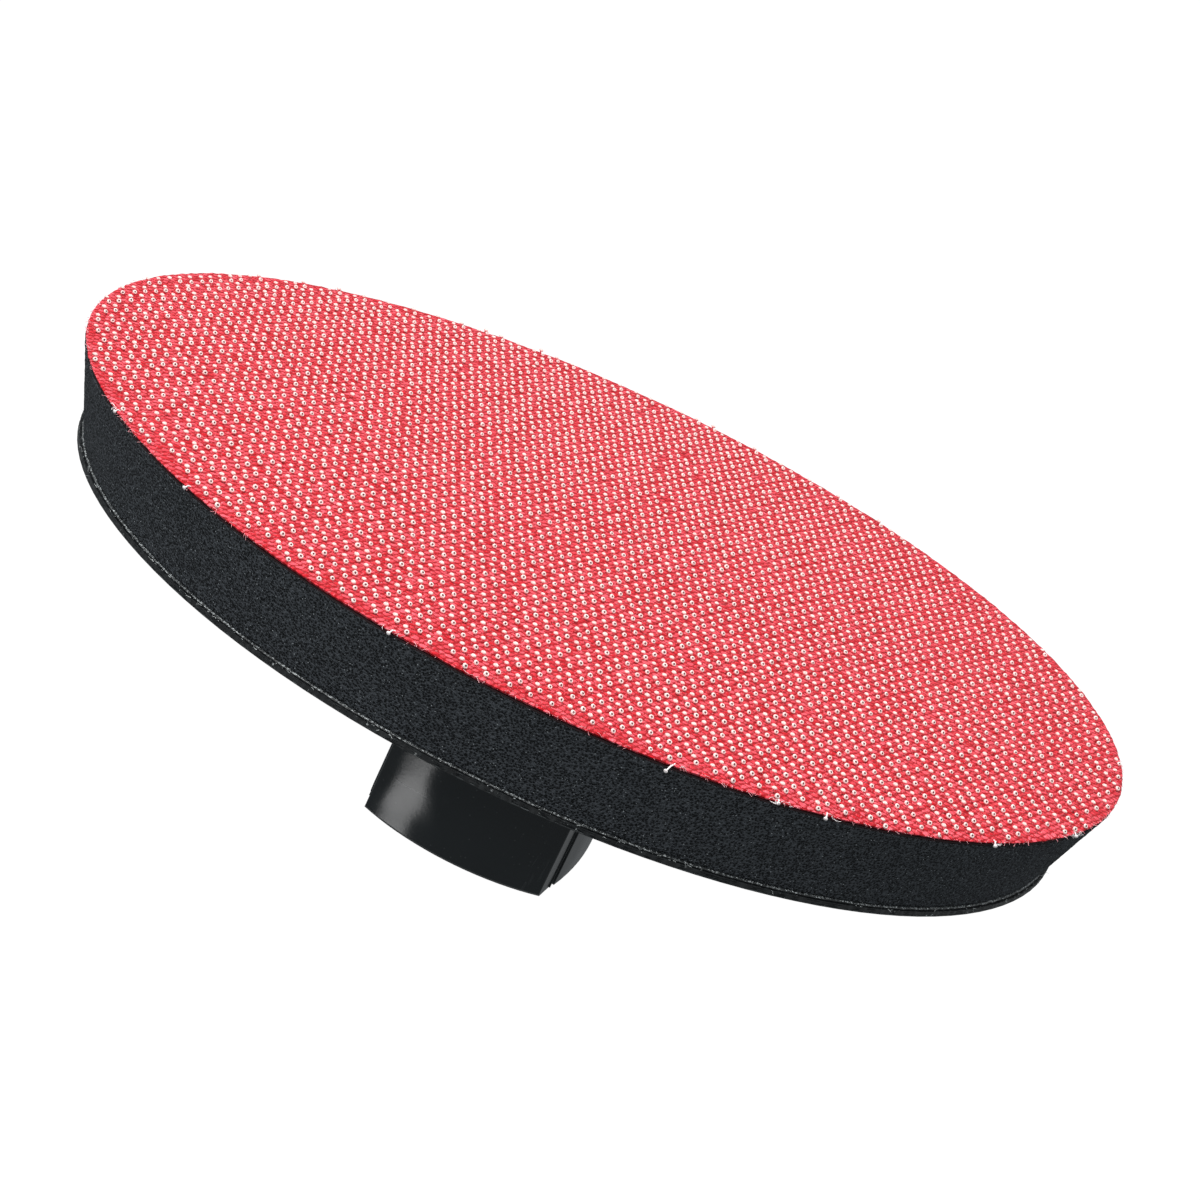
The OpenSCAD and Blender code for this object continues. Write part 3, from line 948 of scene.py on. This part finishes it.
# %% Material: gloss moulded plastic
SCUFF_FROM, SCUFF_TO, SCUFF_FADE = -10.8, -5.2, 0.8
SCUFF_Z, SCUFF_RISE = 7.09, 0.086
gloss, tree, shader = material("gloss moulded nylon", IOR=1.52)
where = millimetres(tree)
marks = use(tree, scratch, {"Place": where, "Angle": 0.9, "Density": 0.3})["Scratch"]
marks = sums(tree, "MULTIPLY", marks, 0.4)
blotch = use(tree, dust, {"Place": where, "Speck size": 0.6, "Mottle size": 8.0})
tone = mixed(tree, blotch["Mottle"], (0.012, 0.016, 0.018, 1), (0.019, 0.024, 0.027, 1))
tone = mixed(tree, sums(tree, "MULTIPLY", blotch["Speck"], 0.25), tone, (0.10, 0.11, 0.11, 1))
spot = node(tree, "ShaderNodeSeparateXYZ", {0: where}).outputs
off_line = sums(tree, "SUBTRACT", sums(tree, "SUBTRACT", spot["Z"], SCUFF_Z),
                sums(tree, "MULTIPLY", spot["X"], SCUFF_RISE))
scuff = mask(tree, sums(tree, "ABSOLUTE", off_line), 0.13, 0.03)
for end, full in ((SCUFF_FROM, SCUFF_FROM + SCUFF_FADE), (SCUFF_TO, SCUFF_TO - SCUFF_FADE)):
    scuff = sums(tree, "MULTIPLY", scuff, mask(tree, spot["X"], end, full))
scuff = sums(tree, "MULTIPLY", scuff, mask(tree, spot["Y"], 0.0, -5.0))
tone = mixed(tree, sums(tree, "MULTIPLY", scuff, 0.7), tone, (0.12, 0.125, 0.13, 1))
tree.links.new(mixed(tree, marks, tone, (0.04, 0.045, 0.047, 1)), shader.inputs["Base Color"])
rough = ranged(tree, blotch["Mottle"], 0.14, 0.26)
tree.links.new(sums(tree, "ADD", rough, sums(tree, "MULTIPLY", marks, 0.25)),
               shader.inputs["Roughness"])
sink = sums(tree, "ADD", noisy(tree, where, 0.10, 1.0),
            sums(tree, "MULTIPLY", noisy(tree, where, 2.5, 2.0), 0.012))
bumped(tree, shader, sums(tree, "SUBTRACT", sink, sums(tree, "MULTIPLY", marks, 0.02)), 0.5)
dress("hub_body", gloss)
print("hub dressed")

# %% [markdown]
# ## Rivets
# A semi-tubular rivet is turned from wire: a low domed head, a shank, and a hollow end that is
# rolled over the washer like a collar. The whole section is spun once, with rounded corners,
# and copied to six places.

# %% Shape: rivets
washer_low = heights("rivet_washers")[0]
rivet_low, rivet_high = heights("rivets")
SHANK_R = 2.5
RIVET_HEAD_R = 4.5
HEAD_EDGE = 0.25
TUBE_R = 1.5
RIVETS = 6
dome = [(RIVET_HEAD_R * math.sin(t), plate_top + HEAD_EDGE
         + (rivet_high - plate_top - HEAD_EDGE) * math.cos(t))
        for t in (i * math.pi / 16 for i in range(9))]
roll = [(SHANK_R, washer_low + 0.01), (3.75, washer_low), (3.8, washer_low - 0.25),
        (3.55, washer_low - 0.65), (3.1, washer_low - 0.90), (2.6, rivet_low),
        (2.1, washer_low - 0.90), (1.7, washer_low - 0.65), (TUBE_R, washer_low - 0.25)]
bore_top = rivet_low + 2.6
profile = dome + [(RIVET_HEAD_R - 0.05, plate_top), (SHANK_R, plate_top)] + roll
profile += [(TUBE_R, bore_top), (0.0, bore_top + 0.6)]
one = spun(profile, 40)
one_rivet = bpy.data.meshes.new("one rivet")
one.to_mesh(one_rivet)
one.free()
bm = bmesh.new()
for i in range(RIVETS):
    copy = one_rivet.copy()
    copy.transform(Matrix.Rotation(i * 2 * math.pi / RIVETS, 4, "Z")
                   @ Matrix.Translation(Vector((rivet_circle, 0, 0)) * MM))
    bm.from_mesh(copy)
finished("rivets_rolled", bm, [zinc], 35, ["rivets"])

# %% [markdown]
# ## The steel insert
# The insert is a turned hexagon with a collar and a spigot, and an M14 x 2 thread cut into a
# blind hole. The body is built from rings that are bridged to each other. The thread is a ridge
# with the real section, swept along a helix by a spin that also climbs, which is how a tap
# moves. It is its own piece, which sits in the wider bore.

# %% Material: turned steel
turned_steel, tree, shader = material("turned steel", Metallic=1.0)
where = millimetres(tree)
flat = node(tree, "ShaderNodeVectorMath", {0: where, 1: (1, 1, 0)}, operation="MULTIPLY")
far = node(tree, "ShaderNodeVectorMath", {0: flat.outputs[0]}, operation="LENGTH").outputs["Value"]
up = node(tree, "ShaderNodeSeparateXYZ", {0: where}).outputs[2]
rings = node(tree, "ShaderNodeTexNoise", {"Vector": node(
    tree, "ShaderNodeCombineXYZ", {0: far, 1: up}).outputs[0], "Scale": 5.0, "Detail": 3.0})
blotch = use(tree, dust, {"Place": where, "Speck size": 0.7, "Mottle size": 4.0})
tone = mixed(tree, blotch["Mottle"], (0.42, 0.42, 0.42, 1), (0.62, 0.62, 0.61, 1))
tree.links.new(tone, shader.inputs["Base Color"])
tree.links.new(ranged(tree, rings.outputs["Fac"], 0.18, 0.45), shader.inputs["Roughness"])
bumped(tree, shader, rings.outputs["Fac"], 0.05)

# %% Shape: insert body
insert_high = heights("spindle_insert")[1]
ACROSS_FLATS = 19.0
COLLAR_R, COLLAR_T, SPIGOT_R = 15.0, 2.0, 8.0
MAJOR_R, MINOR_R, PITCH, THREAD_DEEP = 7.0, 5.9175, 2.0, 22.0
collar_top = heights("hub_body")[1]
corner_r = ACROSS_FLATS / 2 / math.cos(math.pi / 6)
RING = 48


def ring_at(made, size, z, hexagon=False):
    """One ring of edges, round or pulled in to a hexagon with corners at +Y and -Y."""
    verts = bmesh.ops.create_circle(made, segments=RING, radius=size * MM,
                                    matrix=Matrix.Translation((0, 0, z * MM)))["verts"]
    if hexagon:
        for v in verts:
            angle = math.atan2(v.co.y, v.co.x)
            off = (angle + math.pi / 6) % (math.pi / 3) - math.pi / 6
            v.co.xy *= min(1.0, ACROSS_FLATS / 2 / math.cos(off) / size)
    return list({e for v in verts for e in v.link_edges})


def bridged(made, rings):
    """Joins each ring of edges to the next."""
    for first, second in zip(rings, rings[1:]):
        bmesh.ops.bridge_loops(made, edges=first + second)


bm = bmesh.new()
body = [ring_at(bm, MAJOR_R, THREAD_DEEP), ring_at(bm, MAJOR_R, 0.9),
        ring_at(bm, MAJOR_R + 0.9, 0.0), ring_at(bm, ACROSS_FLATS / 2 - 0.15, 0.0),
        ring_at(bm, corner_r, 0.75, True), ring_at(bm, corner_r, collar_top - COLLAR_T, True),
        ring_at(bm, COLLAR_R - 0.2, collar_top - COLLAR_T),
        ring_at(bm, COLLAR_R, collar_top - COLLAR_T + 0.2),
        ring_at(bm, COLLAR_R, collar_top - 0.2), ring_at(bm, COLLAR_R - 0.2, collar_top),
        ring_at(bm, SPIGOT_R, collar_top), ring_at(bm, SPIGOT_R, insert_high - 0.4),
        ring_at(bm, SPIGOT_R - 0.4, insert_high)]
bridged(bm, body)
bmesh.ops.contextual_create(bm, geom=body[-1])
bottom = ring_at(bm, 1.0, THREAD_DEEP + 3.0)
bridged(bm, [body[0], bottom])
bmesh.ops.contextual_create(bm, geom=bottom)
bmesh.ops.recalc_face_normals(bm, faces=bm.faces)
finished("insert", bm, [turned_steel], 30, ["spindle_insert"])

# %% Shape: thread ridge
bm = bmesh.new()
STEPS_PER_TURN = 48
turns = (THREAD_DEEP - 2.5) / PITCH
tooth = [(MAJOR_R + 0.03, -0.86), (MINOR_R + 0.02, -0.22), (MINOR_R + 0.02, 0.22),
         (MAJOR_R + 0.03, 0.86)]
corners = [bm.verts.new((r * MM, 0, (z + 1.2) * MM)) for r, z in tooth]
start = bm.faces.new(corners)
steps = int(turns * STEPS_PER_TURN)
bmesh.ops.spin(bm, geom=[start], cent=(0, 0, 0), axis=(0, 0, 1),
               dvec=(0, 0, PITCH / STEPS_PER_TURN * MM), angle=2 * math.pi * turns, steps=steps)
bmesh.ops.recalc_face_normals(bm, faces=bm.faces)
finished("thread", bm, [turned_steel], 50)

# %% [markdown]
# ## Close the model
# The visual model's box is printed, in millimetres.

# %% Sizes, and the end
bpy.context.view_layer.update()
low, high = (list(corner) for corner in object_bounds())
print("visual box", [round(c / MM, 2) for c in low + high])
